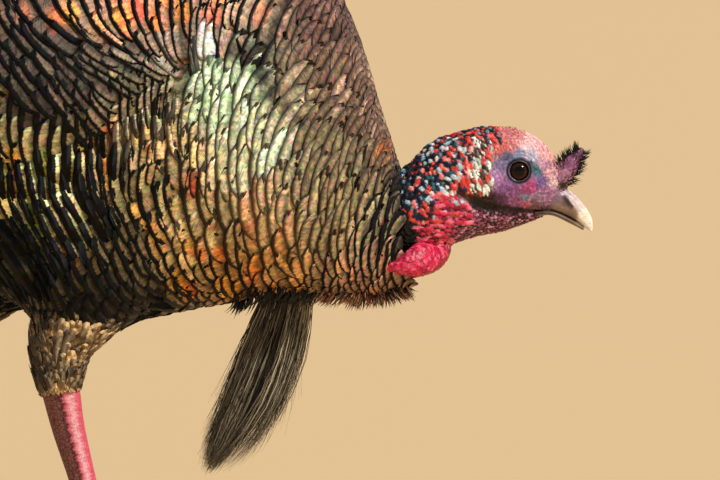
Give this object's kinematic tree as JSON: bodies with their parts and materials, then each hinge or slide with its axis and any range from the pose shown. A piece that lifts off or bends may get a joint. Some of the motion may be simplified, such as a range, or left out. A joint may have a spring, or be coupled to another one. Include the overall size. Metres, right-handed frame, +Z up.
{
  "type": "wild turkey",
  "caption": "Life-size still wild turkey tom, walking with its head held low, with beard, snood, folded wings and closed tail, standing on flat soles.",
  "frame": {"origin": "on the floor, midway along the bird's whole length from the tip of the bill to the end of the tail, on its midline", "axes": "+X forward to the bill, +Y to the bird's left, +Z up"},
  "size_m": [0.9908, 0.2808, 0.4942],
  "materials": {
    "plumage": "overlapping bronze feathers with a dark tip and a metallic sheen",
    "wing": "bronze coverts over barred flight feathers",
    "tail": "barred brown feathers with a dark band and a buff tip",
    "thigh": "soft mottled buff-brown feathers",
    "face": "bare wrinkled violet, blue-grey and pink skin, satin",
    "wattle": "bare knobbly crimson skin, moist satin",
    "shank": "pink scaled skin, satin",
    "horn": "horn, grey-brown at the root and cream at the tip",
    "claw": "dark brown horn, satin",
    "beard": "coarse black bristles",
    "eye": "dark brown iris under a clear wet cornea"
  },
  "bodies": {
    "root": {"bare_neck": "wattle", "beard": "beard", "bill_lower": "horn", "bill_upper": "horn", "claw_hind_left": "claw", "claw_hind_right": "claw", "claw_inner_left": "claw", "claw_inner_right": "claw", "claw_middle_left": "claw", "claw_middle_right": "claw", "claw_outer_left": "claw", "claw_outer_right": "claw", "eye_left": "eye", "eye_right": "eye", "foot_left": "shank", "foot_right": "shank", "head": "face", "neck": "plumage", "shank_left": "shank", "shank_right": "shank", "snood": "face", "spur_left": "claw", "spur_right": "claw", "tail": "tail", "thigh_left": "thigh", "thigh_right": "thigh", "trunk": "plumage", "wattle": "wattle", "wing_left": "wing", "wing_right": "wing"}
  },
  "joints": []
}
